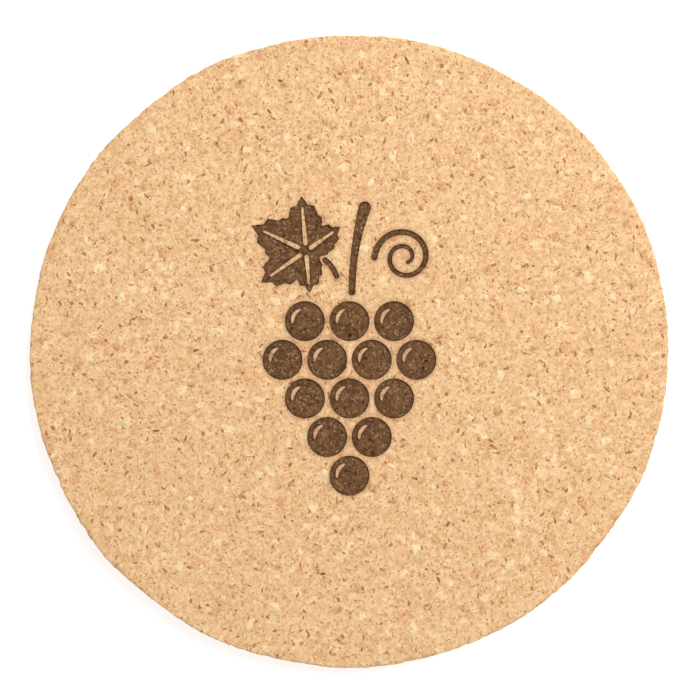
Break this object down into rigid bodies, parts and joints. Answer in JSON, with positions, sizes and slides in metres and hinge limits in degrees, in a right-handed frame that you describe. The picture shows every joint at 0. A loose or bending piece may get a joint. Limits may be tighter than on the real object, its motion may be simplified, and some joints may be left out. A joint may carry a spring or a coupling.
{
  "type": "cork coaster",
  "caption": "Flat round coaster cut from a pressed cork board, with coarse cork granules seated in both faces and the rim; a glass or cup stands on it to keep the table dry",
  "frame": {"origin": "middle of the underside, which lies on the table", "axes": "+Z is the disc's axis, pointing up out of the top face; +Y is the top of the picture, +X its right"},
  "size_m": [0.1, 0.1, 0.005],
  "materials": {
    "pressed_cork": "matt, sanded, finely granular",
    "pale_cork": "matt, sanded",
    "honey_cork": "matt, sanded",
    "rust_cork": "matt, sanded",
    "cork_bark": "matt, rough"
  },
  "bodies": {
    "root": {"pressed_board": "pressed_cork", "top_pale_granules": "pale_cork", "top_honey_granules": "honey_cork", "top_rust_granules": "rust_cork", "top_bark_flecks": "cork_bark", "under_pale_granules": "pale_cork", "under_honey_granules": "honey_cork", "under_rust_granules": "rust_cork", "under_bark_flecks": "cork_bark", "rim_pale_granules": "pale_cork", "rim_honey_granules": "honey_cork", "rim_rust_granules": "rust_cork", "rim_bark_flecks": "cork_bark"}
  },
  "joints": []
}
